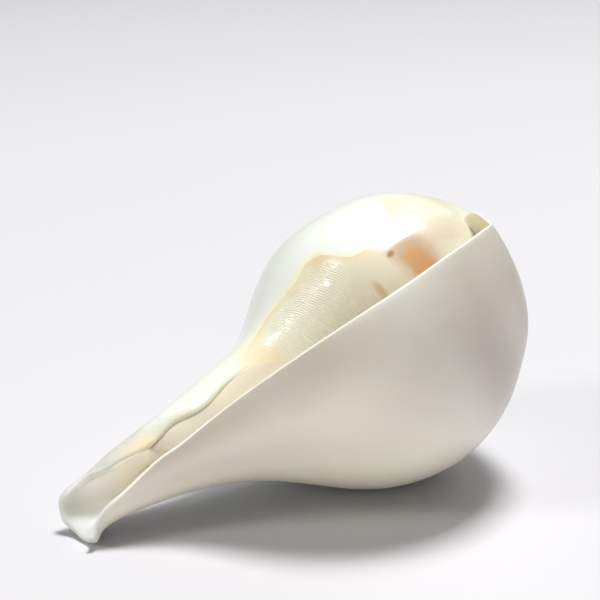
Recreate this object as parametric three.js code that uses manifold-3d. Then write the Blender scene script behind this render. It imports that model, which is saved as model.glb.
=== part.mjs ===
// Conch shell: a right-handed spiral shell with a low spire, a wide last whorl, a long open canal
// and a straight outer lip. It lies on its belly and on the tip of its canal.
// Millimetres, +Z up. The origin is on the ground under the middle of the shell, the spire towards +X.
//
// The shell is one outline, carried round the shell's axis while it shrinks towards the apex.
// Shell axes: Z is the axis of the spiral, with the apex at 0 and the canal below it.
// A place on the shell is (turn, u). turn is the growth angle: 0 near the lip, negative further back.
// u runs down the outline, from 0 at the suture to OUTLINE_END at the tip of the canal.

import * as THREE from 'three';
import { mergeVertices } from 'three/addons/utils/BufferGeometryUtils.js';
import Module from 'manifold-3d';

const DEGREE = Math.PI / 180;
const FULL_TURN = 2 * Math.PI;

// Outline of the last whorl at the lip: distance from the axis and height, suture to canal tip
const OUTLINE = [
  [23.7, -15.6], [31.4, -14.7], [36.9, -21.5], [44.7, -31.3], [50.0, -44.7], [50.7, -59.9],
  [45.1, -75.2], [33.3, -90], [20, -105], [13.6, -120], [9.9, -135], [8.7, -148], [9.5, -161],
];
const OUTLINE_END = 10.62;
const WHORL_GROWTH = 1.75;
const SUTURE_U = 2.6;
const CORNER_U = 2.85;
const LIP_AHEAD = 0.45;
const SUTURE_CLIMB = 0.6;
const APEX_HEIGHT = -0.3;

// Walls
const WALL = 2.6;
const LIP_EDGE = 1.4;
const LIP_TAPER = 35 * DEGREE;
const SHOULDER_WALL = 0.5;
const BELLY_WALL = 0.6;
const NECK_WALL = 1.2;
const PILLAR_STEP = 1.1;

// Hollow inside the last whorls, and where the canal opens into a trough
const HOLLOW_TURN = 470 * DEGREE;
const TROUGH_TURN = 170 * DEGREE;
const TROUGH_SEAM = 5 * DEGREE;
const HOLLOW_START_U = 0.12;
const NECK_U = 7.5;
const PILLAR_END_U = [9.7, 9.96];

// How it lies: the axis rises towards the spire, and the shell is rolled about its axis
const AXIS_RISE = 20.3 * DEGREE;
const ROLL = -55 * DEGREE;
const PLACE = [66.8, 5.7, 57.4];

// Mesh steps
const COLUMNS = 40;
const WHORLS = 4;
const ROWS = [
  0, 0.35, 0.75, 1.2, 1.65, 2.1, SUTURE_U, CORNER_U, 3.15, 3.5, 3.9, 4.4, 4.9, 5.4, 5.9, 6.3, 6.6, 6.9,
  7.1, 7.3, 7.5, 7.7, 8.1, 8.45, 8.8, 9.1, 9.4, 9.65, 9.76, 9.84, 9.96, 10.2, 10.43, OUTLINE_END,
];

// A smooth step from 0 at a to 1 at b
function rise(a, b, x) {
  const t = Math.min(Math.max((x - a) / (b - a), 0), 1);
  return t * t * (3 - 2 * t);
}

// A smooth bump of height 1 at centre
function bump(x, centre, width) {
  return Math.exp(-(((x - centre) / width) ** 2));
}

// 1 at 0, and 0 from reach outwards on both sides
function fade(x, reach) {
  return 1 - rise(0, reach, Math.abs(x));
}

// Place on a uniform cubic B-spline
function spline(points, u) {
  const last = points.length - 3;
  const t = Math.min(Math.max(u, 0), last - 1e-9);
  const i = Math.floor(t);
  const f = t - i;
  const weights = [
    (1 - f) ** 3,
    3 * f ** 3 - 6 * f ** 2 + 4,
    -3 * f ** 3 + 3 * f ** 2 + 3 * f + 1,
    f ** 3,
  ];
  const at = (axis) => weights.reduce((sum, weight, k) => sum + weight * points[i + k][axis], 0) / 6;
  return [at(0), at(1)];
}

// The outline with its first control point, set so that each whorl starts on the whorl before it
function closedOutline() {
  const suture = spline([[0, 0], ...OUTLINE], SUTURE_U);
  const onSuture = (axis) => (6 * suture[axis]) / WHORL_GROWTH;
  const first = [0, 1].map((axis) => onSuture(axis) - 4 * OUTLINE[0][axis] - OUTLINE[1][axis]);
  return [first, ...OUTLINE];
}
const outline = closedOutline();

// Growth angle of the lip's edge: ahead at the suture, held back at the tip of the canal
function lipTurn(u) {
  const sutureAdvance = LIP_AHEAD * bump(u, 0, 0.9) + 0.07 * bump(u, 1.6, 1) + 0.035 * bump(u, 3, 1.2);
  const shoulderNotch = 0.05 * bump(u, 0.95, 0.35);
  const canalRecess = 0.62 * rise(8.8, 10.6, u) + 0.3 * rise(10.1, 10.7, u);
  const canalWaves = 0.1 * bump(u, 9, 1) + 0.025 * rise(8, 8.7, u) + 0.13 * bump(u, 10.45, 0.25);
  return sutureAdvance - shoulderNotch - canalRecess - canalWaves;
}

// How far the left edge of the canal stops short of a full turn: a wavy edge along the neck
function leftTurn(u) {
  const waves = 10 * bump(u, 8.45, 0.3) + 12.5 * bump(u, 9.3, 0.26);
  const tip = 16 * rise(9.8, 10.25, u) + 20 * rise(10.25, OUTLINE_END, u);
  return (30 * rise(7.5, 8.2, u) + waves + tip) * DEGREE;
}

// How far the suture has climbed up the outline of the whorl before it, most of all at the lip
function climb(turn) {
  return SUTURE_CLIMB * fade(turn - LIP_AHEAD, 110 * DEGREE);
}

// Row of the whorl before, moved up with the suture
function climbedU(turn, u) {
  return u - climb(turn + FULL_TURN) * bump(u, SUTURE_U, 0.8);
}

function sutureShift(turn, u) {
  const from = spline(outline, SUTURE_U);
  const to = spline(outline, SUTURE_U - climb(turn));
  const share = WHORL_GROWTH ** (turn / FULL_TURN - 1) * bump(u, 0, 0.8);
  return [0, 1].map((axis) => (to[axis] - from[axis]) * share);
}

// Share of its height that the outline keeps as it shrinks: the canal stays long all round
function keptHeight(u) {
  return 0.72 * rise(5.3, 10, u) + 0.26 * rise(9.7, 10.7, u);
}

// The rim at the tip of the canal: cut back on its left, longest in the middle, short at the foot
function tipShortening(turn, u) {
  const leftCut = 10.5 * rise(205 * DEGREE, 300 * DEGREE, -turn);
  const middle = 1.3 * bump(turn, -168 * DEGREE, 0.55);
  const foot = 1.5 * bump(turn, -78 * DEGREE, 0.33);
  return (leftCut - middle + foot) * rise(10, OUTLINE_END, u);
}

// 1 at the lip's edge, 0 from a quarter of a turn back
function nearLip(turn, u) {
  return 1 - rise(0, 90 * DEGREE, lipTurn(u) - turn);
}

function profile(turn, u) {
  const [radius, height] = spline(outline, u);
  const size = WHORL_GROWTH ** (turn / FULL_TURN);
  const growth = WHORL_GROWTH - 0.34 * bump(u, 6.65, 1.12);
  const neckPinch = 2.25 * bump(turn, -262 * DEGREE, 0.8) * bump(u, 7.6, 0.55);
  const canalSwell = 0.8 * bump(turn, -250 * DEGREE, 0.8) * bump(u, 9.6, 0.9);
  const foot = 3.6 * bump(turn, -72 * DEGREE, 0.7) * bump(u, 10.75, 0.33);
  const tipTuck = 1.1 * rise(9.9, 10.5, u) * rise(215 * DEGREE, 265 * DEGREE, -turn);
  const shoulderFlare = 1.5 * bump(u, 1.1, 1) * nearLip(turn, u);
  const bodySwell = 0.7 * bump(turn, -322 * DEGREE, 0.4) * bump(u, 1.2, 0.6);
  const shoulderLift = 1.4 * bump(u, 1.1, 0.8) * nearLip(turn, u);
  const sutureLift = 0.6 * climb(turn) * bump(u, 0.3, 0.2);
  const kept = keptHeight(u);
  const [shiftOut, shiftUp] = sutureShift(turn, u);
  const out = canalSwell + foot + shoulderFlare + bodySwell + shiftOut - neckPinch - tipTuck;
  const up = tipShortening(turn, u) + shoulderLift + sutureLift + shiftUp;
  return {
    r: radius * growth ** (turn / FULL_TURN) + out,
    z: height * (size + (1 - size) * kept) + up,
  };
}

function onAxisPlane(turn, r, z) {
  return new THREE.Vector3(r * Math.cos(turn), -r * Math.sin(turn), z);
}

function outerPoint(turn, u) {
  const { r, z } = profile(turn, u);
  return onAxisPlane(turn, r, z);
}

function wallThickness(turn, u) {
  const size = WHORL_GROWTH ** (turn / FULL_TURN);
  const belly = BELLY_WALL * rise(2, 6, u);
  const neck = NECK_WALL * rise(6, 8, u) * (1 - rise(8.8, 10, u));
  const full = WALL * (0.2 + 0.8 * size) * (SHOULDER_WALL + belly + neck);
  const edge = LIP_EDGE * (0.55 + 0.45 * rise(0.9, 2, u));
  return edge + (full - edge) * rise(0, LIP_TAPER, lipTurn(u) - turn);
}

function innerPoint(turn, u) {
  const step = 1e-3;
  const here = profile(turn, u);
  const before = profile(turn, Math.max(u - step, 0));
  const after = profile(turn, Math.min(u + step, OUTLINE_END));
  const run = Math.hypot(after.r - before.r, after.z - before.z);
  const wall = wallThickness(turn, u);
  return onAxisPlane(
    turn,
    here.r + (wall * (after.z - before.z)) / run,
    here.z - (wall * (after.r - before.r)) / run,
  );
}

// How far round the hollow reaches: deep in the whorls, and half a turn in the canal
function hollowReach(u) {
  return HOLLOW_TURN + (TROUGH_TURN - HOLLOW_TURN) * rise(5.5, 9.4, u);
}

// The columella: the outside of the whorl before, a step below the outer wall's left edge
function pillarPoint(share, u) {
  const turn = -FULL_TURN + leftTurn(u) * (1 - share) ** 2 - share * hollowReach(u);
  const { r, z } = profile(turn, climbedU(turn, u));
  const step = PILLAR_STEP * rise(8.1, 8.65, u) * (1 - rise(0, 60 * DEGREE, share * hollowReach(u)));
  return onAxisPlane(turn, r - step, z);
}

// The left half of the trough: share 0 is just inside the left edge, share 1 its floor
function troughPoint(share, u) {
  const edge = -FULL_TURN + leftTurn(u);
  const floor = -TROUGH_TURN - TROUGH_SEAM;
  return innerPoint(edge + (floor - edge) * share, u);
}

function innerLeftPoint(share, u) {
  const open = rise(PILLAR_END_U[0], PILLAR_END_U[1], u);
  const first = 1 / COLUMNS;
  return pillarPoint(share, u).lerp(troughPoint((share - first) / (1 - first), u), open);
}

function innerRightPoint(share, u) {
  const reach = share * hollowReach(u);
  return innerPoint(lipTurn(u) * fade(reach, 110 * DEGREE) - reach, u);
}

// Vertices and faces of the one closed surface
class Skin {
  constructor() {
    this.points = [];
    this.faces = [];
  }

  add(point) {
    return this.points.push(point) - 1;
  }

  face(a, b, c) {
    if (a !== b && b !== c && c !== a) {
      this.faces.push(a, b, c);
    }
  }

  distance(a, b) {
    return this.points[a].distanceTo(this.points[b]);
  }

  quad(a, b, c, d) {
    if (this.distance(a, c) <= this.distance(b, d)) {
      this.face(a, b, c);
      this.face(a, c, d);
    } else {
      this.face(a, b, d);
      this.face(b, c, d);
    }
  }

  // Share of the length at each vertex of a chain
  shares(chain) {
    const lengths = [0];
    for (let i = 1; i < chain.length; i += 1) {
      lengths.push(lengths[i - 1] + this.distance(chain[i - 1], chain[i]));
    }
    return lengths.map((length) => length / lengths[lengths.length - 1]);
  }

  // A strip of faces between two chains of vertices
  strip(first, second) {
    const a = this.shares(first);
    const b = this.shares(second);
    let i = 0;
    let j = 0;
    while (i < first.length - 1 || j < second.length - 1) {
      const onFirst = j === second.length - 1 || (i < first.length - 1 && a[i + 1] <= b[j + 1]);
      if (onFirst) {
        this.face(first[i], second[j], first[i + 1]);
        i += 1;
      } else {
        this.face(first[i], second[j], second[j + 1]);
        j += 1;
      }
    }
  }
}

// The outer wall of the last whorl and the spire. Whorls share the vertices along the suture.
function addOuterWall(skin, sutureRow) {
  const grid = [];
  const ahead = lipTurn(0);
  for (let column = 0; column <= COLUMNS * WHORLS; column += 1) {
    const turn = (-FULL_TURN * column) / COLUMNS;
    const rows = column <= COLUMNS ? ROWS.length : sutureRow + 1;
    const line = [];
    for (let row = 0; row < rows; row += 1) {
      const u = ROWS[row];
      if (column >= COLUMNS && row === sutureRow) {
        line.push(grid[column - COLUMNS][0]);
        continue;
      }
      const underLip = ahead * bump(u, SUTURE_U, 1) * fade(turn + FULL_TURN, 100 * DEGREE);
      let shift = underLip;
      if (row === 0) {
        shift = ahead * fade(turn, 100 * DEGREE);
      } else if (column < COLUMNS) {
        shift += lipTurn(u) * fade(turn, 110 * DEGREE) + leftTurn(u) * fade(turn + FULL_TURN, 150 * DEGREE);
      } else if (column === COLUMNS) {
        shift += leftTurn(u);
      }
      line.push(skin.add(outerPoint(turn + shift, climbedU(turn, u))));
    }
    grid.push(line);
  }
  for (let column = 0; column < COLUMNS * WHORLS; column += 1) {
    const rows = column < COLUMNS ? ROWS.length - 1 : sutureRow;
    for (let row = 0; row < rows; row += 1) {
      skin.quad(grid[column][row], grid[column][row + 1], grid[column + 1][row + 1], grid[column + 1][row]);
    }
  }
  return grid;
}

function addApex(skin, grid, sutureRow) {
  const apex = skin.add(new THREE.Vector3(0, 0, APEX_HEIGHT));
  const end = COLUMNS * WHORLS;
  for (let column = end - COLUMNS; column < end; column += 1) {
    skin.face(grid[column][0], grid[column + 1][0], apex);
  }
  for (let row = 1; row < sutureRow; row += 1) {
    skin.face(grid[end][0], grid[end][row], grid[end][row + 1]);
  }
  skin.face(grid[end][0], grid[end][sutureRow], apex);
}

// The hollow: the columella side on the left, the inside of the outer wall on the right
function addHollow(skin, grid, cornerRow) {
  const rows = ROWS.slice(cornerRow);
  const left = [];
  const right = [];
  for (let column = 0; column <= COLUMNS; column += 1) {
    const share = column / COLUMNS;
    const leftLine = [];
    const rightLine = [];
    rows.forEach((u, row) => {
      const onLeft = column === 0 ? grid[COLUMNS][cornerRow + row] : skin.add(innerLeftPoint(share, u));
      leftLine.push(onLeft);
      if (row === 0) {
        rightLine.push(onLeft);
        return;
      }
      const spread = (NECK_U - HOLLOW_START_U) / (NECK_U - CORNER_U);
      const v = u < NECK_U ? HOLLOW_START_U + (u - CORNER_U) * spread : u;
      rightLine.push(skin.add(innerRightPoint(share, v)));
    });
    left.push(leftLine);
    right.push(rightLine);
  }
  for (let column = 0; column < COLUMNS; column += 1) {
    for (let row = 0; row < rows.length - 1; row += 1) {
      const [l, deeperL] = [left[column], left[column + 1]];
      skin.quad(l[row], l[row + 1], deeperL[row + 1], deeperL[row]);
      const [r, deeperR] = [right[column], right[column + 1]];
      skin.quad(deeperR[row], deeperR[row + 1], r[row + 1], r[row]);
    }
  }
  const [endL, endR] = [left[COLUMNS], right[COLUMNS]];
  for (let row = 0; row < rows.length - 1; row += 1) {
    skin.quad(endL[row], endL[row + 1], endR[row + 1], endR[row]);
  }
  return { left, right };
}

// The lip's cut edge, from its corner on the whorl before it to the canal
function addLipEdge(skin, grid, right, sutureRow, cornerRow) {
  skin.strip(grid[0], [...grid[COLUMNS].slice(sutureRow, cornerRow), ...right[0]]);
}

function addCanalTip(skin, grid, left, right) {
  const end = ROWS.length - 1;
  const outer = grid.slice(0, COLUMNS + 1).map((line) => line[end]);
  const lastRow = (side) => side.map((line) => line[line.length - 1]);
  skin.strip(outer, [...lastRow(right), ...lastRow(left).slice(1).reverse()]);
}

function shellSkin() {
  const skin = new Skin();
  const sutureRow = ROWS.indexOf(SUTURE_U);
  const cornerRow = ROWS.indexOf(CORNER_U);
  const grid = addOuterWall(skin, sutureRow);
  addApex(skin, grid, sutureRow);
  const { left, right } = addHollow(skin, grid, cornerRow);
  addLipEdge(skin, grid, right, sutureRow, cornerRow);
  addCanalTip(skin, grid, left, right);
  return skin;
}

// From the shell's axes to the ground: the axis rises towards +X, and the shell rests at Z 0
function layDown(points) {
  const up = new THREE.Vector3(
    Math.cos(AXIS_RISE) * Math.cos(ROLL),
    Math.cos(AXIS_RISE) * Math.sin(ROLL),
    Math.sin(AXIS_RISE),
  );
  const forward = new THREE.Vector3(0, 0, 1).addScaledVector(up, -up.z).normalize();
  const side = new THREE.Vector3().crossVectors(up, forward);
  const place = new THREE.Vector3(...PLACE);
  return points.map((p) => new THREE.Vector3(p.dot(forward), p.dot(side), p.dot(up)).add(place));
}

const wasm = await Module();
wasm.setup();

function toSolid(positions, indices) {
  const mesh = new wasm.Mesh({
    numProp: 3,
    vertProperties: Float32Array.from(positions),
    triVerts: Uint32Array.from(indices),
  });
  return new wasm.Manifold(mesh);
}

function toGeometry(solid) {
  const mesh = solid.getMesh();
  const geometry = new THREE.BufferGeometry();
  geometry.setAttribute('position', new THREE.BufferAttribute(mesh.vertProperties, 3));
  geometry.setIndex(new THREE.BufferAttribute(mesh.triVerts, 1));
  geometry.computeVertexNormals();
  return geometry;
}

// A slab whose top is the ground
function groundSlab() {
  const thickness = 20;
  const box = new THREE.BoxGeometry(300, 300, thickness);
  box.deleteAttribute('normal');
  box.deleteAttribute('uv');
  const slab = mergeVertices(box).translate(0, 0, -thickness / 2);
  return toSolid(slab.attributes.position.array, slab.index.array);
}

// The shell, worn flat where it touches the ground
function shellGeometry() {
  const skin = shellSkin();
  const positions = layDown(skin.points).flatMap((p) => [p.x, p.y, p.z]);
  return toGeometry(toSolid(positions, skin.faces).subtract(groundSlab()));
}

const polished = new THREE.MeshStandardMaterial({ color: 0xe9e4d8, roughness: 0.25, metalness: 0 });
const shell = new THREE.Mesh(shellGeometry(), polished);
shell.name = 'conch_shell';

const model = new THREE.Group();
model.add(shell);

export default model;
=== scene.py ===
import bpy
import numpy as np
from mathutils import Matrix, Vector


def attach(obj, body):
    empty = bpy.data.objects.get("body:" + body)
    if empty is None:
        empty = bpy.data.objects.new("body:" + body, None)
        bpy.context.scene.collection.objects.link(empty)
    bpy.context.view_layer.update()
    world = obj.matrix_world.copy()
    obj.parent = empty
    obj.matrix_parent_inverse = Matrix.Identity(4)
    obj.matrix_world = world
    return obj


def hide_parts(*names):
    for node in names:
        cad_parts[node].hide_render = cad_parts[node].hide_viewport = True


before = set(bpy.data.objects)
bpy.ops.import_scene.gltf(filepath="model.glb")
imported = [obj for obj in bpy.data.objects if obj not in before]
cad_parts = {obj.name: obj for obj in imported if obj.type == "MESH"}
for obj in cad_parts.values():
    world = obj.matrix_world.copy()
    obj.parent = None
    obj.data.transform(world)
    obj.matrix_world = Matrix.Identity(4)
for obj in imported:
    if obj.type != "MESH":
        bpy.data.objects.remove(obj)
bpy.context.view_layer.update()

# Conch shell, polished: a right-handed spiral shell that lies on its belly and the tip of its canal.
# The surface is the CAD solid's, from the same formulas, with finer steps and rounded edges.
# Shell axes, in mm: Z is the axis of the spiral, with the apex at 0 and the canal below it.
# A place on the shell is (turn, u). turn is the growth angle: 0 near the lip, negative further back.
# u runs down the outline, from 0 at the suture to OUTLINE_END at the tip of the canal.

DEGREE = np.pi / 180
FULL_TURN = 2 * np.pi
MM = 0.001

# Control points of the outline at turn 0, as distance from the axis and height along it
OUTLINE = np.array([
    (23.7, -15.6), (31.4, -14.7), (36.9, -21.5), (44.7, -31.3), (50.0, -44.7), (50.7, -59.9),
    (45.1, -75.2), (33.3, -90), (20, -105), (13.6, -120), (9.9, -135), (8.7, -148), (9.5, -161),
])
OUTLINE_END = 10.62
TIP_CUT_U = (10.35, OUTLINE_END)
WHORL_GROWTH = 1.75
SUTURE_U = 2.6
CORNER_U = 2.85
LIP_AHEAD = 0.45
SUTURE_CLIMB = 0.6
APEX_HEIGHT = -0.3

# Growth over which a change near the lip, the suture, the left edge or a rounded edge dies away
LIP_BLEND = 110 * DEGREE
SUTURE_BLEND = 100 * DEGREE
LEFT_BLEND = 150 * DEGREE
EDGE_BLEND = 20 * DEGREE

WALL = 2.6
LIP_EDGE = 1.4
LIP_TAPER = 35 * DEGREE
EDGE_ROUND = 0.6
LEAST_RADIUS = 5
PILLAR_STEP = 1.1
PILLAR_END_U = (9.7, 9.96)

# The hollow goes back by HOLLOW_TURN in the body, and by TROUGH_TURN in the canal
HOLLOW_TURN = 470 * DEGREE
TROUGH_TURN = 170 * DEGREE
TROUGH_SEAM = 5 * DEGREE
HOLLOW_START_U = 0.12
NECK_U = 7.5

# How the shell lies on the ground
AXIS_RISE = 20.3 * DEGREE
ROLL = -55 * DEGREE
PLACE = np.array([66.8, 5.7, 57.4])

# Scale that keeps the rounded edges inside the box of the CAD
INSIDE_BOX = np.array([0.998, 0.9955, 0.998])

# Steps of the mesh: columns around each whorl, and rows down the outline
COLUMNS = 200
WHORLS = 4
EDGE_STEPS = 7
HOLLOW_COLUMNS = (COLUMNS + EDGE_STEPS - 1) // 2
SUTURE_ROW = 34
CORNER_ROW = SUTURE_ROW + 3
TIP_ROW = CORNER_ROW + 89
ROWS = np.concatenate([
    np.linspace(0, SUTURE_U, SUTURE_ROW + 1),
    np.linspace(SUTURE_U, CORNER_U, CORNER_ROW - SUTURE_ROW + 1)[1:],
    np.linspace(CORNER_U, OUTLINE_END, TIP_ROW - CORNER_ROW + 1)[1:],
])


# Shape functions


def rise(a, b, x):
    t = np.clip((x - a) / (b - a), 0, 1)
    return t * t * (3 - 2 * t)


def bump(x, centre, width):
    return np.exp(-(((x - centre) / width) ** 2))


def fade(x, reach):
    return 1 - rise(0, reach, np.abs(x))


def spline(points, u):
    last = len(points) - 3
    t = np.clip(u, 0, last - 1e-9)
    i = np.floor(t).astype(int)
    f = (t - i)[..., None]
    return (
        (1 - f) ** 3 * points[i]
        + (3 * f**3 - 6 * f**2 + 4) * points[i + 1]
        + (-3 * f**3 + 3 * f**2 + 3 * f + 1) * points[i + 2]
        + f**3 * points[i + 3]
    ) / 6


def closed_outline():
    suture = spline(np.vstack([[0, 0], OUTLINE]), np.array([SUTURE_U]))[0]
    first = 6 * suture / WHORL_GROWTH - 4 * OUTLINE[0] - OUTLINE[1]
    return np.vstack([first, OUTLINE])


outline = closed_outline()


def lip_turn(u):
    advance = LIP_AHEAD * bump(u, 0, 0.9) + 0.07 * bump(u, 1.6, 1) + 0.035 * bump(u, 3, 1.2)
    recess = 0.62 * rise(8.8, 10.6, u) + 0.3 * rise(10.1, 10.7, u)
    waves = 0.1 * bump(u, 9, 1) + 0.025 * rise(8, 8.7, u) + 0.13 * bump(u, 10.45, 0.25)
    return advance - recess - waves - 0.05 * bump(u, 0.95, 0.35)


def left_turn(u):
    waves = 10 * bump(u, 8.45, 0.3) + 12.5 * bump(u, 9.3, 0.26)
    tip = 16 * rise(9.8, 10.25, u) + 20 * rise(10.25, OUTLINE_END, u)
    return (30 * rise(7.5, 8.2, u) + waves + tip) * DEGREE


# How far the suture has climbed up the outline of the whorl before it
def climb(turn):
    return SUTURE_CLIMB * fade(turn - LIP_AHEAD, LIP_BLEND)


def climbed_u(turn, u):
    return u - climb(turn + FULL_TURN) * bump(u, SUTURE_U, 0.8)


def suture_shift(turn, u):
    moved = spline(outline, SUTURE_U - climb(turn)) - spline(outline, SUTURE_U)
    return moved * (WHORL_GROWTH ** (turn / FULL_TURN - 1) * bump(u, 0, 0.8))[..., None]


def near_lip(turn, u):
    return 1 - rise(0, 90 * DEGREE, lip_turn(u) - turn)


def profile(turn, u):
    point = spline(outline, u)
    size = WHORL_GROWTH ** (turn / FULL_TURN)
    growth = WHORL_GROWTH - 0.34 * bump(u, 6.65, 1.12)
    neck_pinch = 2.25 * bump(turn, -262 * DEGREE, 0.8) * bump(u, 7.6, 0.55)
    canal_swell = 0.8 * bump(turn, -250 * DEGREE, 0.8) * bump(u, 9.6, 0.9)
    foot = 3.6 * bump(turn, -72 * DEGREE, 0.7) * bump(u, 10.75, 0.33)
    tip_tuck = 1.1 * rise(9.9, 10.5, u) * rise(215 * DEGREE, 265 * DEGREE, -turn)
    flare = 1.5 * bump(u, 1.1, 1) * near_lip(turn, u)
    body_swell = 0.7 * bump(turn, -322 * DEGREE, 0.4) * bump(u, 1.2, 0.6)
    lift = 1.4 * bump(u, 1.1, 0.8) * near_lip(turn, u) + 0.6 * climb(turn) * bump(u, 0.3, 0.2)
    left_cut = 10.5 * rise(205 * DEGREE, 300 * DEGREE, -turn)
    tip_shape = left_cut - 1.3 * bump(turn, -168 * DEGREE, 0.55) + 1.5 * bump(turn, -78 * DEGREE, 0.33)
    kept = 0.72 * rise(5.3, 10, u) + 0.26 * rise(9.7, 10.7, u)
    edge = EDGE_ROUND * rise(*TIP_CUT_U, u)
    out = canal_swell + foot + flare + body_swell - neck_pinch - tip_tuck
    r = point[..., 0] * growth ** (turn / FULL_TURN) + out
    z = point[..., 1] * (size + (1 - size) * kept) + tip_shape * rise(10, OUTLINE_END, u) + lift + edge
    shift = suture_shift(turn, u)
    return r + shift[..., 0], z + shift[..., 1]


def on_axis_plane(turn, r, z):
    return np.stack(np.broadcast_arrays(r * np.cos(turn), -r * np.sin(turn), z), -1)


def outer_point(turn, u):
    return on_axis_plane(turn, *profile(turn, u))


def wall_thickness(turn, u):
    size = WHORL_GROWTH ** (turn / FULL_TURN)
    by_place = 0.5 + 0.6 * rise(2, 6, u) + 1.2 * rise(6, 8, u) * (1 - rise(8.8, 10, u))
    full = WALL * (0.2 + 0.8 * size) * by_place
    edge = LIP_EDGE * (0.55 + 0.45 * rise(0.9, 2, u))
    return edge + (full - edge) * rise(0, LIP_TAPER, lip_turn(u) - turn)


def inner_point(turn, u):
    step = 1e-3
    r, z = profile(turn, u)
    r0, z0 = profile(turn, np.maximum(u - step, 0))
    r1, z1 = profile(turn, np.minimum(u + step, OUTLINE_END))
    run = np.hypot(r1 - r0, z1 - z0)
    wall = wall_thickness(turn, u)
    return on_axis_plane(turn, r + wall * (z1 - z0) / run, z - wall * (r1 - r0) / run)


# Place on the inside of the lip that a row of the hollow starts from
def hollow_u(u):
    above = HOLLOW_START_U * u / CORNER_U
    below = HOLLOW_START_U + (u - CORNER_U) * (NECK_U - HOLLOW_START_U) / (NECK_U - CORNER_U)
    return np.where(u < CORNER_U, above, np.where(u < NECK_U, below, u))


# How far the hollow goes back from its opening
def hollow_reach(u):
    return HOLLOW_TURN + (TROUGH_TURN - HOLLOW_TURN) * rise(5.5, 9.4, u)


# How far a wall stops short of its edge, as an angle, to leave room for the rounding
def edge_room(turn, u):
    return EDGE_ROUND / np.maximum(profile(turn, u)[0], LEAST_RADIUS)


def forward(turn):
    return np.stack([-np.sin(turn), -np.cos(turn), np.zeros_like(turn)], -1)


DOWN = np.array([0, 0, -1.0])


def unit(v):
    return v / np.linalg.norm(v, axis=-1, keepdims=True)


# A rounded edge from a to b: half an ellipse that stands out by EDGE_ROUND times size along out
def edge_step(a, b, out, size, s):
    share = ((1 - np.cos(np.pi * s)) / 2)[..., None]
    return a + (b - a) * share + out * (EDGE_ROUND * np.sin(np.pi * s) * size)[..., None]


# The one closed surface


# Side is 0 on the outside of the shell and 1 on its inside, with these steps between them
EDGE_SIDE = 0.2
COLUMELLA_SIDE = 0.4


class Skin:
    def __init__(self):
        self.points = []
        self.marks = []
        self.faces = []
        self.count = 0

    # Adds a grid of points with their turn, u and side, and gives their numbers
    def add(self, points, turn, u, side):
        shape = points.shape[:-1]
        n = int(np.prod(shape))
        marks = np.stack([np.broadcast_to(m, shape) for m in (turn, u, side)], -1)
        self.points.append(points.reshape(-1, 3))
        self.marks.append(marks.reshape(-1, 3))
        self.count += n
        return np.arange(self.count - n, self.count).reshape(shape)

    def close(self):
        self.points = np.vstack(self.points)
        self.marks = np.vstack(self.marks)

    # Two triangles for each cell of a grid of point numbers, cut along the shorter diagonal
    def cells(self, grid):
        a, b, c, d = (q.ravel() for q in (grid[:-1, :-1], grid[:-1, 1:], grid[1:, 1:], grid[1:, :-1]))
        p = self.points
        short = np.linalg.norm(p[a] - p[c], axis=1) <= np.linalg.norm(p[b] - p[d], axis=1)
        first = np.where(short[:, None], np.stack([a, b, c], 1), np.stack([a, b, d], 1))
        second = np.where(short[:, None], np.stack([a, c, d], 1), np.stack([b, c, d], 1))
        self.faces += [first, second]

    # Triangles between two chains of point numbers, stepping along both by length
    def strip(self, first, second):
        def shares(chain):
            lengths = np.cumsum(np.linalg.norm(np.diff(self.points[chain], axis=0), axis=1))
            return np.append(0, lengths / lengths[-1])

        a, b = shares(first), shares(second)
        i = j = 0
        found = []
        while i < len(first) - 1 or j < len(second) - 1:
            if j == len(second) - 1 or (i < len(first) - 1 and a[i + 1] <= b[j + 1]):
                found.append((first[i], second[j], first[i + 1]))
                i += 1
            else:
                found.append((first[i], second[j], second[j + 1]))
                j += 1
        self.faces.append(np.array(found))

    # The triangles that have three corners, and only the points that they use
    def finish(self):
        f = np.vstack(self.faces)
        f = f[(f[:, 0] != f[:, 1]) & (f[:, 1] != f[:, 2]) & (f[:, 2] != f[:, 0])]
        used, numbers = np.unique(f, return_inverse=True)
        self.points = self.points[used]
        self.marks = self.marks[used]
        self.triangles = numbers.reshape(-1, 3)


# Outer wall of the last whorl, and the spire. Whorls share the points along the suture.
def add_outer_wall(skin):
    last = FULL_TURN * np.arange(COLUMNS + 1) / COLUMNS
    turn, u = np.meshgrid(-last, ROWS, indexing="ij")
    u = climbed_u(turn, u + (hollow_u(u) - u) * fade(turn, 60 * DEGREE))
    ahead = lip_turn(np.zeros(1))[0]
    shift = ahead * bump(ROWS, SUTURE_U, 1) * fade(turn + FULL_TURN, SUTURE_BLEND)
    shift += lip_turn(u) * fade(turn, LIP_BLEND) + left_turn(u) * fade(turn + FULL_TURN, LEFT_BLEND)
    shift[:, 0] = ahead * fade(turn[:, 0], SUTURE_BLEND)
    place = turn + shift - edge_room(turn, u) * fade(turn, EDGE_BLEND)
    grid = skin.add(outer_point(place, u), place, u, 0)
    grid[COLUMNS, SUTURE_ROW] = grid[0, 0]

    spire = FULL_TURN * np.arange(COLUMNS + 1, COLUMNS * WHORLS + 1) / COLUMNS
    turn, u = np.meshgrid(-spire, ROWS[:SUTURE_ROW], indexing="ij")
    place = turn + ahead * bump(u, SUTURE_U, 1) * fade(turn + FULL_TURN, SUTURE_BLEND)
    u = climbed_u(turn, u)
    upper = skin.add(outer_point(place, u), place, u, 0)
    upper = np.vstack([grid[COLUMNS:, :SUTURE_ROW], upper])
    starts = np.concatenate([grid[:, 0], upper[1:, 0]])[: len(upper)]
    upper = np.column_stack([upper, starts])
    return grid, upper


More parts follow.
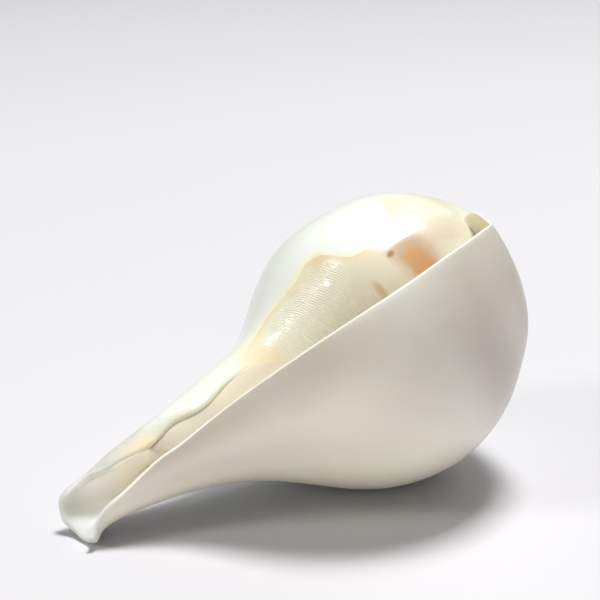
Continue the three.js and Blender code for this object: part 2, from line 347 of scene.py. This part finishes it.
def add_apex(skin, upper):
    apex = skin.add(np.array([[0, 0, APEX_HEIGHT]]), -FULL_TURN * WHORLS, 0, 0)[0]
    end = upper[-1]
    ring = upper[-1 - COLUMNS:, 0]
    around = np.stack([ring[:-1], ring[1:], np.full(COLUMNS, apex)], 1)
    last = len(end) - 1
    fan = np.stack([np.full(last - 1, end[0]), end[1:last], end[2 : last + 1]], 1)
    skin.faces += [around, fan, np.array([[end[0], end[last], apex]])]


# Columns of the hollow from its opening inwards, and the share of the way in that each one stands at.
# The second share puts them closer together near the opening.
COLUMN = np.arange(HOLLOW_COLUMNS + 1)[:, None]
SHARE = COLUMN / HOLLOW_COLUMNS
CLOSER_SHARE = SHARE**1.6


# The inside of the outer wall: its points, turns and places down the outline
def inside_wall(u):
    v = hollow_u(u)
    reach = (CLOSER_SHARE + (SHARE - CLOSER_SHARE) * rise(8.9, 9.9, u)) * hollow_reach(u)
    turn = lip_turn(v) * fade(reach, LIP_BLEND) - reach
    turn = turn - edge_room(turn, v) * fade(reach, EDGE_BLEND)
    return inner_point(turn, v), turn, v + 0 * turn


# The columella, and below its end the left side of the canal's trough: their points and turns
def columella(u):
    turn = -FULL_TURN + left_turn(u) * (1 - CLOSER_SHARE) ** 2 - CLOSER_SHARE * hollow_reach(u)
    r, z = profile(turn, climbed_u(turn, u))
    step = PILLAR_STEP * rise(8.1, 8.65, u) * (1 - rise(0, 60 * DEGREE, CLOSER_SHARE * hollow_reach(u)))
    pillar = on_axis_plane(turn, r - step, z)
    edge = -FULL_TURN + left_turn(u)
    floor = -TROUGH_TURN - TROUGH_SEAM
    along = np.clip((COLUMN - EDGE_STEPS) / (HOLLOW_COLUMNS - EDGE_STEPS), 0, 1)
    trough_turn = edge + (floor - edge) * along
    trough = inner_point(trough_turn, u)
    is_trough = rise(*PILLAR_END_U, u)
    points = pillar + (trough - pillar) * is_trough[..., None]
    return points, turn + (trough_turn - turn) * is_trough


# Rounds the left edge of the outer wall, from start, where it stands over the columella
def round_left_edge(points, start, u):
    s = (COLUMN[:EDGE_STEPS] / EDGE_STEPS) * np.ones_like(u)
    edge = -FULL_TURN + left_turn(u)
    out = unit(-forward(edge + 0 * s) + DOWN * rise(*TIP_CUT_U, u)[..., None])
    size = rise(8.1, 8.55, u) * (0.6 + 0.4 * rise(*PILLAR_END_U, u)) + 0 * s
    rounded = edge_step(start[None], points[EDGE_STEPS][None], out, size, s)
    is_edge = rise(7.95, 8.45, u)[..., None]
    points[:EDGE_STEPS] += (rounded - points[:EDGE_STEPS]) * is_edge


# The hollow: the columella on the left and the inside of the outer wall on the right
def add_hollow(skin, grid):
    u = ROWS[CORNER_ROW:][None, :]
    edge = grid[COLUMNS, CORNER_ROW:]
    points, turns = columella(u)
    round_left_edge(points, np.vstack(skin.points)[edge], u)
    side = COLUMELLA_SIDE + (1 - COLUMELLA_SIDE) * rise(*PILLAR_END_U, u)
    side = side * np.minimum(COLUMN / EDGE_STEPS, 1)
    left = skin.add(points[1:], turns[1:], u, side[1:])
    left = np.vstack([edge[None], left])
    points, turns, rows = inside_wall(u)
    right = skin.add(points[:, 1:], turns[:, 1:], rows[:, 1:], 1)
    right = np.column_stack([left[:, 0], right])
    return left, right


# The rounded edge all round the aperture: down the outer lip and round the tip of the canal
def add_edges(skin, grid, left, right):
    points = np.vstack(skin.points)
    lip_u = hollow_u(ROWS[CORNER_ROW:])
    lip = (grid[0, CORNER_ROW:], right[0])
    inner_rim = np.concatenate([right[:, -1], left[:EDGE_STEPS - 1 : -1, -1]])
    rim = (grid[: COLUMNS + 1, TIP_ROW], inner_rim)
    s = np.arange(1, EDGE_STEPS)[:, None] / EDGE_STEPS

    marks = np.vstack(skin.marks)
    turn = marks[lip[0], 0]
    out = unit(forward(turn) + DOWN * rise(*TIP_CUT_U, lip_u)[:, None])
    size = np.ones_like(s * turn)
    middle = edge_step(points[lip[0]], points[lip[1]], out, size, s)
    lip_mid = skin.add(middle, turn, lip_u, EDGE_SIDE)

    turn = marks[rim[0], 0]
    share = np.arange(COLUMNS + 1) / COLUMNS
    lip_side = (1 - rise(0, 0.06, share))[:, None]
    left_side = rise(0.94, 1, share)[:, None]
    out = unit(DOWN + forward(turn) * lip_side - forward(turn) * left_side)
    middle = edge_step(points[rim[0]], points[rim[1]], out, np.ones_like(s * turn), s)[:, 1:-1]
    rim_mid = skin.add(middle, turn[1:-1], OUTLINE_END, EDGE_SIDE)
    rim_mid = np.column_stack([lip_mid[:, -1], rim_mid, left[1:EDGE_STEPS, -1]])
    lip_band = np.vstack([lip[0][None], lip_mid, lip[1][None]]).T
    rim_band = np.vstack([rim[0][None], rim_mid, rim[1][None]]).T
    return lip_band, rim_band


def shell_skin():
    skin = Skin()
    grid, upper = add_outer_wall(skin)
    left, right = add_hollow(skin, grid)
    lip_band, rim_band = add_edges(skin, grid, left, right)
    add_apex(skin, upper)
    skin.close()
    skin.cells(grid)
    skin.cells(upper)
    skin.cells(left)
    skin.cells(right[::-1])
    skin.cells(np.stack([left[-1], right[-1]]))
    skin.cells(lip_band)
    skin.cells(rim_band)
    corner = np.concatenate([grid[0, :CORNER_ROW], lip_band[0, :-1]])
    skin.strip(corner, grid[COLUMNS, SUTURE_ROW : CORNER_ROW + 1])
    skin.finish()
    return skin


# From the shell's axes to the ground: the axis rises towards +X, and the shell rests at Z 0
def lay_down(points):
    up = np.array([np.cos(AXIS_RISE) * np.cos(ROLL), np.cos(AXIS_RISE) * np.sin(ROLL), np.sin(AXIS_RISE)])
    ahead = unit(np.array([0, 0, 1.0]) - up * up[2])
    side = np.cross(up, ahead)
    laid = points @ np.stack([ahead, side, up], 1) + PLACE
    laid = laid * INSIDE_BOX
    laid[:, 2] = np.maximum(laid[:, 2], 0)
    return laid


# Marks on the surface for the material


# Border of the glaze beside the aperture, as u and growth angle, from the shoulder to the canal
GLAZE_BORDER = np.array([
    (0, -309), (2.3, -311), (3, -306), (4, -303), (4.4, -306), (4.7, -322), (5, -330), (5.4, -327),
    (5.7, -326.5), (6.1, -329), (6.3, -327), (6.4, -321), (6.5, -313), (6.7, -308.5), (7, -308.5),
    (7.3, -304), (7.5, -300), (7.75, -300), (7.9, -304.5), (8.03, -307), (8.16, -316), (8.3, -326),
    (8.5, -333), (11, -333),
])

# Growth angle that distances around the glaze are measured from
GLAZE_MIDDLE = -340


def glaze_turn(u):
    return np.interp(u, *GLAZE_BORDER.T) * DEGREE


def outline_length(u):
    steps = np.linspace(0, OUTLINE_END, 400)
    line = spline(outline, steps)
    lengths = np.cumsum(np.linalg.norm(np.diff(line, axis=0), axis=1))
    return np.interp(u, steps, np.append(0, lengths))


# Distance down the outline in mm, smaller on the older part of the whorl
def length_down(turn, u):
    kept = rise(5.3, 9, u)
    return outline_length(u) * (kept + (1 - kept) * WHORL_GROWTH ** (turn / FULL_TURN))


# Distance around the axis in mm from the middle of the glaze
def length_around(turn, u):
    return (turn - GLAZE_MIDDLE * DEGREE) * profile(turn, u)[0]


def surface_marks(turn, u, side):
    radius = profile(turn, u)[0]
    return {
        "turn": turn / FULL_TURN,
        "down": u,
        "side": side,
        "glaze": (glaze_turn(u) - turn) * radius,
        "length": length_down(turn, u),
        "around": length_around(turn, u),
        "to_ledge": (turn + FULL_TURN - left_turn(u)) * radius,
    }


# Marks of each triangle's corners. Points on the suture and in the crease behind the lip belong to two
# whorls, so a corner there takes its place on the whorl that its triangle is part of.
def corner_marks(skin):
    turn, u, side = np.moveaxis(skin.marks[skin.triangles], -1, 0).copy()
    newest = turn.max(1, keepdims=True)
    oldest = turn.min(1, keepdims=True)
    jump = newest - oldest > np.pi
    in_hollow = side.max(1, keepdims=True) > 0.9
    crease = jump & in_hollow & (turn < newest - np.pi)
    turn[crease] += FULL_TURN
    u[crease] = HOLLOW_START_U
    side[crease] = 1
    suture = jump & ~in_hollow & (turn > oldest + np.pi)
    turn[suture] -= FULL_TURN
    u[suture] = climbed_u(turn[suture], SUTURE_U)
    return turn.ravel(), u.ravel(), side.ravel()


def make_shell():
    skin = shell_skin()
    mesh = bpy.data.meshes.new("shell")
    mesh.from_pydata(lay_down(skin.points) * MM, [], skin.triangles)
    mesh.shade_smooth()
    mesh.set_sharp_from_angle(angle=50 * DEGREE)
    for name, values in surface_marks(*corner_marks(skin)).items():
        layer = mesh.attributes.new(name, "FLOAT", "CORNER")
        layer.data.foreach_set("value", values.astype(np.float32))
    shell = bpy.data.objects.new("polished_shell", mesh)
    bpy.context.scene.collection.objects.link(shell)
    return shell


# Materials


def srgb(r, g, b):
    def linear(c):
        c = c / 255
        return c / 12.92 if c < 0.04045 else ((c + 0.055) / 1.055) ** 2.4

    return (linear(r), linear(g), linear(b), 1)


class Nodes:
    def __init__(self, name):
        self.material = bpy.data.materials.new(name)
        self.material.use_nodes = True
        self.tree = self.material.node_tree
        self.shader = self.tree.nodes["Principled BSDF"]
        self.object_place = self.new("ShaderNodeTexCoord").outputs["Object"]

    def new(self, kind, **settings):
        node = self.tree.nodes.new(kind)
        for key, value in settings.items():
            setattr(node, key, value)
        return node

    def join(self, value, socket):
        if isinstance(value, (int, float, tuple)):
            socket.default_value = value
        else:
            self.tree.links.new(value, socket)

    def math(self, operation, a, b=0.0, c=0.0):
        node = self.new("ShaderNodeMath", operation=operation)
        for value, socket in zip((a, b, c), node.inputs):
            self.join(value, socket)
        return node.outputs[0]

    def add(self, a, b):
        return self.math("ADD", a, b)

    def times(self, a, b):
        return self.math("MULTIPLY", a, b)

    def mark(self, name):
        return self.new("ShaderNodeAttribute", attribute_name=name).outputs["Fac"]

    # A smooth step from 0 at start to 1 at end
    def ramp(self, value, start, end):
        node = self.new("ShaderNodeMapRange", interpolation_type="SMOOTHSTEP")
        low, high = sorted((start, end))
        limits = (low, high, 0.0, 1.0) if start < end else (low, high, 1.0, 0.0)
        for key, number in zip(("From Min", "From Max", "To Min", "To Max"), limits):
            node.inputs[key].default_value = number
        self.join(value, node.inputs["Value"])
        return node.outputs["Result"]

    # Noise around 0 with a grain in mm
    def noise(self, grain, detail=3.0, vector=None):
        node = self.new("ShaderNodeTexNoise")
        self.join(self.object_place if vector is None else vector, node.inputs["Vector"])
        node.inputs["Scale"].default_value = 1 / grain if vector is not None else 1 / (grain * MM)
        node.inputs["Detail"].default_value = detail
        return self.add(node.outputs["Fac"], -0.5)

    def mix(self, share, a, b):
        node = self.new("ShaderNodeMix", data_type="RGBA")
        self.join(share, node.inputs["Factor"])
        self.join(a, node.inputs["A"])
        self.join(b, node.inputs["B"])
        return node.outputs["Result"]

    def vector(self, x, y, z):
        node = self.new("ShaderNodeCombineXYZ")
        for value, socket in zip((x, y, z), node.inputs):
            self.join(value, socket)
        return node.outputs[0]


# The older part of the last whorl, which the glaze lies on, is behind this turn
OLD_TURN = -0.7

# Colours of the shell in plain even light; some, as marked, also hold painted shade or painted light
WHITE = srgb(245, 248, 237)
SHEET = srgb(240, 245, 233)
SHEET_TIP = srgb(219, 218, 206)
LIP_FACE = srgb(217, 211, 199)
UPPER_FACE = srgb(213, 207, 197)
FACE = srgb(242, 237, 225)
# Partly a warm tint and partly painted light from the floor below
BELLY_TINT_AND_LIGHT = srgb(255, 250, 232)
GLAZE = srgb(244, 232, 206)
# Partly a paler tone and partly painted sheen
LOWER_GLAZE_AND_SHEEN = srgb(255, 249, 226)
RIM_YELLOW = srgb(246, 226, 172)
SOFT_YELLOW = srgb(255, 247, 217)
PINK = srgb(211, 182, 152)
BEIGE = srgb(226, 205, 180)
ORANGE = srgb(230, 174, 118)
OCHRE = srgb(220, 190, 136)
BROWN = srgb(176, 128, 92)
PALE_STREAK = srgb(250, 236, 208)
HUMP = srgb(253, 236, 200)
NECK = srgb(246, 236, 212)
LEAF = srgb(226, 218, 202)
LEAF_TIP = srgb(210, 201, 184)
PEACH = srgb(248, 222, 170)
CANAL = srgb(255, 253, 245)
CANAL_TIP = srgb(224, 227, 220)
CANAL_TOP = srgb(255, 248, 232)
INSIDE = srgb(234, 230, 206)
EDGE = srgb(252, 248, 234)
# Painted shade on the cut edge at the tip of the canal
TIP_EDGE_SHADE = srgb(228, 228, 220)
HALO = srgb(255, 248, 206)
# Painted shade in the grooves between the ribs
RIB_SHADE = srgb(222, 212, 180)
# Painted shade under the edge of the white sheet, where it rolls down to the columella
SHEET_EDGE_SHADE = srgb(212, 208, 178)

# Patches of colour on the glaze and the neck: the place as growth angle and u, half the width around and
# down in mm, the tilt in degrees, the softness of the edge, the colour and its strength
PATCHES = (
    ((-339, 3.6), 4.5, 8, 0, 0.7, BEIGE, 0.8),
    ((-341, 5.1), 8, 6, 0, 0.6, PINK, 0.85),
    ((-351.5, 5.15), 6, 3.8, 0, 0.35, ORANGE, 0.9),
    ((-353, 6.35), 3.2, 1.6, 0, 0.5, OCHRE, 0.8),
    ((-356, 6.2), 3.0, 0.6, 20, 0.5, PALE_STREAK, 0.8),
    ((-333, 7.95), 7, 6, 0, 0.7, HUMP, 0.8),
    ((-338.5, 5.64), 0.8, 1.5, 15, 0.6, BROWN, 0.9),
    ((-319, 3.1), 2.5, 5, 0, 0.8, PEACH, 0.35),
    ((-314.5, 6.6), 2.6, 3.2, 0, 0.8, OCHRE, 0.4),
    ((-320, 9.8), 2.6, 3, 0, 0.8, PEACH, 0.45),
)

# Fine ribs on the glaze and growth lines, in mm
RIB_SPACING = 1.0
RIB_SLANT = 0.33
RIB_BOW = 0.0078
RIB_HEIGHT = 0.06
GROWTH_LINE_HEIGHT = 0.03

# The finish: rough on the back, and smoother with a stronger coat on the glaze
ROUGHNESS = 0.36
GLAZE_SMOOTHER = 0.2
ROUGHNESS_WANDER = 0.12
COAT = 0.3
GLAZE_COAT = 0.5


def glaze_colour(n, wander, wide):
    down = n.mark("down")
    # The lower glaze is paler: partly its own paler tone and partly painted sheen where it catches the
    # light
    lower = n.ramp(n.add(down, n.times(wide, 1.2)), 6.2, 7.3)
    colour = n.mix(lower, GLAZE, LOWER_GLAZE_AND_SHEEN)
    upper = n.ramp(n.add(down, n.times(wide, 2)), 4.6, 3.4)
    colour = n.mix(upper, colour, SOFT_YELLOW)
    inward = n.add(n.mark("glaze"), n.times(wander, 6))
    rim = n.times(n.ramp(inward, 4.2, 0.8), n.times(n.ramp(down, 5.8, 6.3), n.ramp(down, 8.2, 7.6)))
    return n.mix(n.times(rim, 0.55), colour, RIM_YELLOW)


# 1 inside an ellipse on the surface, in mm around and down from a place, fading over soft at its edge
def patch(n, place, half_around, half_down, tilt, soft, wander):
    turn, u = place[0] * DEGREE, np.float64(place[1])
    across = n.add(n.mark("around"), -float(length_around(turn, u)))
    along = n.add(n.mark("length"), -float(length_down(turn, u)))
    c, s = np.cos(tilt * DEGREE), np.sin(tilt * DEGREE)
    x = n.add(n.times(across, c / half_around), n.times(along, s / half_around))
    y = n.add(n.times(across, -s / half_down), n.times(along, c / half_down))
    distance = n.math("SQRT", n.add(n.times(x, x), n.times(y, y)))
    distance = n.add(distance, n.times(wander, 0.6))
    return n.ramp(distance, 1 + soft, 1 - soft)


# The outer wall: a white back, and a warmer face that is greyer beside the lip and paler under the belly.
# The paler belly is partly a warm tint and partly painted light from the floor below.
def wall_colour(n, wander, wide):
    down = n.mark("down")
    behind_lip = n.add(n.mark("turn"), n.times(wide, 0.05))
    face = n.mix(n.ramp(n.add(down, n.times(wide, 2)), 3.2, 4.9), UPPER_FACE, FACE)
    beside_lip = n.times(n.ramp(behind_lip, -0.08, -0.02), n.ramp(down, 5, 6.5))
    face = n.mix(beside_lip, face, LIP_FACE)
    belly = n.times(n.ramp(behind_lip, -0.1, -0.17), n.ramp(down, 4.6, 5.8))
    face = n.mix(belly, face, BELLY_TINT_AND_LIGHT)
    sheet = n.mix(n.ramp(n.add(down, n.times(wander, 1.2)), 9.1, 9.9), SHEET, SHEET_TIP)
    back = n.mix(n.ramp(n.add(down, n.times(wander, 0.8)), 7.6, 8.6), WHITE, sheet)
    return n.mix(n.ramp(behind_lip, -0.22, -0.34), face, back)


# The glaze between the body and the aperture. Crisp is 1 where its border is sharp. Gives the new colour
# and the share of glaze.
def with_glaze(n, colour, wander, wide, crisp):
    down = n.mark("down")
    inward = n.add(n.mark("glaze"), n.times(wander, 2.4))
    sharp = n.times(n.ramp(inward, -0.3, 0.5), crisp)
    soft = n.times(n.ramp(inward, -5, 3), n.add(1.0, n.times(crisp, -1.0)))
    glazed = n.add(sharp, soft)
    halo = n.times(n.ramp(inward, -3.5, 0), n.times(n.ramp(down, 5.8, 6.5), n.ramp(down, 8.4, 7.9)))
    colour = n.mix(n.times(halo, 0.7), colour, HALO)
    return n.mix(glazed, colour, glaze_colour(n, wander, wide)), glazed


def with_patches(n, colour, wander):
    on_body = n.math("LESS_THAN", n.mark("turn"), OLD_TURN)
    for place, half_around, half_down, tilt, soft, tint, strength in PATCHES:
        share = patch(n, place, half_around, half_down, tilt, soft, wander)
        colour = n.mix(n.times(n.times(share, on_body), strength), colour, tint)
    return colour


# The white sheet gets painted shade where its edge rolls down to the columella: a darker olive band
# stands in for the shade under the edge
def with_sheet_edge_shade(n, colour, wander):
    down = n.mark("down")
    near_edge = n.ramp(n.add(n.mark("to_ledge"), n.times(wander, 1.5)), 2.6, 0.3)
    edge_shade = n.times(near_edge, n.ramp(n.mark("side"), 0.35, 0.2))
    edge_shade = n.times(edge_shade, n.times(n.ramp(down, 8.85, 9.15), n.ramp(down, 9.75, 9.5)))
    return n.mix(n.times(edge_shade, 0.6), colour, SHEET_EDGE_SHADE)


# The columella, the trough of the canal, the inside of the lip and the cut edges. Towards the tip of the
# canal the cut edge is painted grey: painted shade.
def with_inside(n, colour):
    down = n.mark("down")
    side = n.mark("side")
    canal = n.mix(n.ramp(down, 9.75, 10.15), CANAL_TOP, CANAL)
    canal = n.mix(n.ramp(down, 10.15, 10.5), canal, CANAL_TIP)
    leaf = n.mix(n.ramp(down, 9.3, 9.75), n.mix(n.ramp(down, 8.4, 9), NECK, LEAF), LEAF_TIP)
    on_leaf = n.times(n.ramp(side, 0.75, 0.5), n.ramp(down, 9.95, 9.8))
    inside = n.mix(on_leaf, canal, leaf)
    inside = n.mix(n.ramp(down, 3, 1.5), inside, INSIDE)
    colour = n.mix(n.ramp(side, 0.3, 0.38), colour, inside)
    edge = n.times(n.ramp(side, 0.05, 0.15), n.ramp(side, 0.35, 0.25))
    edge = n.times(edge, n.ramp(n.mark("turn"), -0.8, -0.7))
    return n.mix(edge, colour, n.mix(n.ramp(down, 9.8, 10.3), EDGE, TIP_EDGE_SHADE))


# The colour all over, and the share of glaze that is smooth
def shell_colour(n):
    wander = n.noise(4.5, 4.0)
    wide = n.noise(34.0, 3.0)
    crisp = n.ramp(n.mark("down"), 4.2, 4.9)
    colour = wall_colour(n, wander, wide)
    colour, glazed = with_glaze(n, colour, wander, wide, crisp)
    colour = with_patches(n, colour, wander)
    colour = with_sheet_edge_shade(n, colour, wander)
    colour = with_inside(n, colour)
    mottle = n.ramp(n.noise(14.0, 5.0), -0.1, 0.25)
    return n.mix(n.times(mottle, 0.07), colour, PINK), n.times(glazed, crisp)


# Fine ribs across the glaze: their wave, and how strongly they stand out
def rib_wave(n):
    down = n.mark("down")
    around = n.mark("around")
    slope = n.add(RIB_SLANT, n.times(around, RIB_BOW))
    length = n.add(n.mark("length"), n.times(n.times(around, slope), -1.0))
    length = n.add(length, n.times(n.noise(6.0, 2.0), 1.3))
    share = n.times(n.ramp(down, 5.9, 6.9), n.ramp(down, 8.0, 7.5))
    share = n.times(share, n.times(n.ramp(n.mark("glaze"), 0.5, 5), n.ramp(n.noise(3.0, 2.0), -0.3, 0.1)))
    share = n.times(share, n.math("LESS_THAN", n.mark("turn"), OLD_TURN))
    return n.math("SINE", n.times(length, 2 * np.pi / RIB_SPACING)), share


def shell_relief(n, wave, share):
    growth = n.noise(1.0, 3.0, n.vector(n.times(n.mark("turn"), 90.0), n.times(n.mark("down"), 0.5), 0.0))
    return n.add(n.times(n.times(wave, share), RIB_HEIGHT), n.times(growth, GROWTH_LINE_HEIGHT))


def shell_material():
    n = Nodes("polished_shell")
    colour, glazed = shell_colour(n)
    wave, share = rib_wave(n)
    # The grooves between the ribs are painted darker: painted shade that stands in for the shade of the
    # fine relief
    dark = n.times(n.times(n.ramp(wave, 0.3, -0.9), share), 0.22)
    n.join(n.mix(dark, colour, RIB_SHADE), n.shader.inputs["Base Color"])
    relief = n.new("ShaderNodeBump")
    relief.inputs["Distance"].default_value = MM
    n.join(shell_relief(n, wave, share), relief.inputs["Height"])
    n.join(relief.outputs[0], n.shader.inputs["Normal"])
    wander = n.times(n.noise(11.0), ROUGHNESS_WANDER)
    rough = n.add(ROUGHNESS, n.add(n.times(glazed, -GLAZE_SMOOTHER), wander))
    n.join(rough, n.shader.inputs["Roughness"])
    n.join(relief.outputs[0], n.shader.inputs["Coat Normal"])
    n.join(n.add(COAT, n.times(glazed, GLAZE_COAT)), n.shader.inputs["Coat Weight"])
    n.shader.inputs["Coat Roughness"].default_value = 0.14
    n.shader.inputs["IOR"].default_value = 1.53
    n.shader.inputs["Specular IOR Level"].default_value = 0.3
    n.shader.inputs["Subsurface Weight"].default_value = 0.4
    n.shader.inputs["Subsurface Radius"].default_value = (1.0, 0.75, 0.5)
    n.shader.inputs["Subsurface Scale"].default_value = 0.004
    return n.material


def plain_material(name, colour, roughness):
    n = Nodes(name)
    n.shader.inputs["Base Color"].default_value = colour
    n.shader.inputs["Roughness"].default_value = roughness
    return n.material


# Stage, lights and camera


FLOOR_HALF = 6.0
FLOOR_COLOUR = (0.69, 0.68, 0.7, 1)
FLOOR_ROUGHNESS = 0.6
ROOM_COLOUR = (0.97, 0.96, 1.0, 1)
ROOM_LIGHT = 0.05

# Square lights that point at the shell: name, place and size in metres, and power in watts
LIGHTS = (
    ("overhead", (0.5, 0.2, 2.42), 0.7, 65.0),
    ("window", (-2.14, 0.27, 1.4), 0.6, 18.0),
    ("right", (1.6, 0.8, 1.8), 1.6, 9.0),
    ("front", (-0.85, -1.4, 0.5), 1.1, 4.6),
)
LIGHTS_AIM = Vector((0, 0, 0.03))

CAMERA_PLACE = (-0.2210, -0.3589, 0.1822)
CAMERA_LOOK = (0.4992, 0.8163, -0.2907)
CAMERA_RIGHT = (0.8533, -0.5214, 0.0011)
LENS = 101.75
SENSOR = 36


def make_floor():
    h = FLOOR_HALF
    mesh = bpy.data.meshes.new("floor")
    mesh.from_pydata([(-h, -h, 0), (h, -h, 0), (h, h, 0), (-h, h, 0)], [], [(0, 1, 2, 3)])
    floor = bpy.data.objects.new("floor", mesh)
    bpy.context.scene.collection.objects.link(floor)
    mesh.materials.append(plain_material("floor", FLOOR_COLOUR, FLOOR_ROUGHNESS))


def add_light(name, position, size, power):
    light = bpy.data.lights.new(name, "AREA")
    light.shape = "SQUARE"
    light.size = size
    light.energy = power
    lamp = bpy.data.objects.new(name, light)
    bpy.context.scene.collection.objects.link(lamp)
    aim = LIGHTS_AIM - Vector(position)
    lamp.rotation_euler = aim.to_track_quat("-Z", "Y").to_euler()
    lamp.location = position


def light_stage():
    world = bpy.data.worlds.new("studio")
    bpy.context.scene.world = world
    world.use_nodes = True
    background = world.node_tree.nodes["Background"]
    background.inputs["Color"].default_value = ROOM_COLOUR
    background.inputs["Strength"].default_value = ROOM_LIGHT
    for light in LIGHTS:
        add_light(*light)
    bpy.context.scene.view_settings.view_transform = "Standard"


def add_camera():
    data = bpy.data.cameras.new("camera")
    data.sensor_width = SENSOR
    data.lens = LENS
    camera = bpy.data.objects.new("camera", data)
    bpy.context.scene.collection.objects.link(camera)
    look = unit(np.array(CAMERA_LOOK))
    right = unit(np.array(CAMERA_RIGHT))
    turned = Matrix(np.stack([right, np.cross(right, look), -look], 1).tolist()).to_4x4()
    camera.matrix_world = Matrix.Translation(Vector(CAMERA_PLACE)) @ turned
    bpy.context.scene.camera = camera


shell = make_shell()
shell.data.materials.append(shell_material())
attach(shell, "root")
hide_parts("conch_shell")
make_floor()
light_stage()
add_camera()
